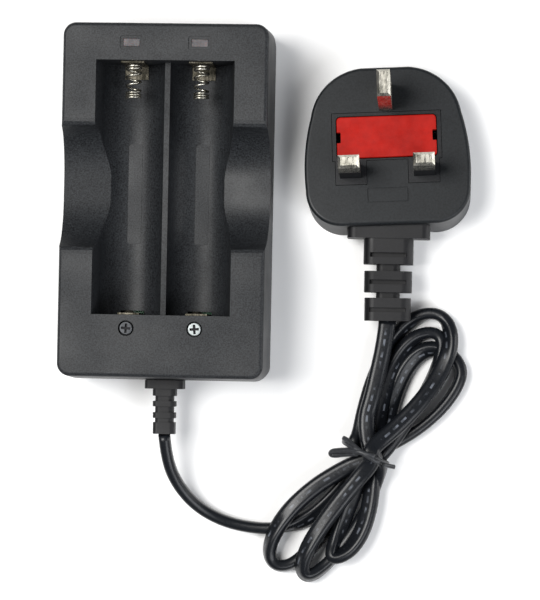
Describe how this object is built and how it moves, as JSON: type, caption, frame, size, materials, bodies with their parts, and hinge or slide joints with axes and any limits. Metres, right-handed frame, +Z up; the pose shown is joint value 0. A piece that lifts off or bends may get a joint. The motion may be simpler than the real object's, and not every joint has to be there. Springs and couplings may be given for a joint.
{
  "type": "two-bay cell charger",
  "caption": "Desk charger with two open half-round bays, spring contacts and status windows, a flat twin lead tied in a hank, and a moulded mains plug with a lift-out fuse carrier.",
  "frame": {"origin": "centre of the charger's base, on the surface that it stands on", "axes": "+Z up, +Y along the bays towards the status windows, +X across the bays towards the plug"},
  "size_m": [0.1229, 0.1667, 0.0379],
  "materials": {
    "case_plastic": "fine spark-textured black ABS",
    "screw_steel": "zinc-plated steel",
    "milky_window": "milky translucent plastic",
    "nickel": "bright nickel plate",
    "board_laminate": "green solder mask",
    "ferrite": "sintered ferrite",
    "winding_tape": "yellow polyester tape",
    "capacitor_sleeve": "shrink sleeve",
    "component_black": "moulded epoxy",
    "resistor_body": "lacquered body",
    "led_epoxy": "clear-diffused epoxy",
    "wire_brown": "PVC insulation",
    "wire_blue": "PVC insulation",
    "lead_pvc": "glossy black PVC",
    "tie_pvc": "black PVC over wire",
    "plug_pvc": "satin black PVC",
    "insert_nylon": "satin black nylon",
    "red_carrier": "glossy red plastic",
    "ceramic": "glazed ceramic",
    "brass": "spring brass"
  },
  "bodies": {
    "charger": {"bottom_case": "case_plastic", "case_screws": "screw_steel", "charger_lead": "lead_pvc", "charger_strain_relief": "lead_pvc", "chip_resistors": "component_black", "circuit_board": "board_laminate", "control_chip": "component_black", "cord_hank": "lead_pvc", "earth_pin": "nickel", "fuse_clip_load": "brass", "fuse_clip_supply": "brass", "fusible_resistor": "resistor_body", "input_capacitor": "capacitor_sleeve", "led_window_left": "milky_window", "led_window_right": "milky_window", "live_pin": "nickel", "live_pin_sleeve": "insert_nylon", "live_wire": "wire_brown", "negative_contact_plate_left": "nickel", "negative_contact_plate_right": "nickel", "negative_spring_left": "nickel", "negative_spring_right": "nickel", "neutral_pin": "nickel", "neutral_pin_sleeve": "insert_nylon", "neutral_wire": "wire_blue", "output_capacitor": "capacitor_sleeve", "output_diode": "component_black", "plug_body": "plug_pvc", "plug_insert": "insert_nylon", "plug_lead": "lead_pvc", "plug_strain_relief": "plug_pvc", "positive_contact_left": "nickel", "positive_contact_right": "nickel", "rectifier_diodes": "component_black", "status_led_left": "led_epoxy", "status_led_right": "led_epoxy", "switching_transistor": "component_black", "top_cover": "case_plastic", "transformer_core": "ferrite", "transformer_winding": "winding_tape", "twist_tie": "tie_pvc"},
    "negative_contact_left": {"negative_spring_tip_left": "nickel"},
    "negative_contact_right": {"negative_spring_tip_right": "nickel"},
    "fuse_carrier": {"fuse_carrier": "red_carrier", "plug_fuse_barrel": "ceramic", "plug_fuse_caps": "nickel"}
  },
  "joints": [
    {"name": "negative_contact_left_slide", "type": "slide", "parent": "charger", "child": "negative_contact_left", "axis": [0, 1, 0], "range_m": [0, 0.0055], "stiffness_N_per_m": 250, "deforming": ["negative_spring_left"]},
    {"name": "negative_contact_right_slide", "type": "slide", "parent": "charger", "child": "negative_contact_right", "axis": [0, 1, 0], "range_m": [0, 0.0055], "stiffness_N_per_m": 250, "deforming": ["negative_spring_right"]},
    {"name": "fuse_carrier_slide", "type": "slide", "parent": "charger", "child": "fuse_carrier", "axis": [-0.0053, 0.1044, 0.9945], "range_m": [0, 0.016]}
  ]
}
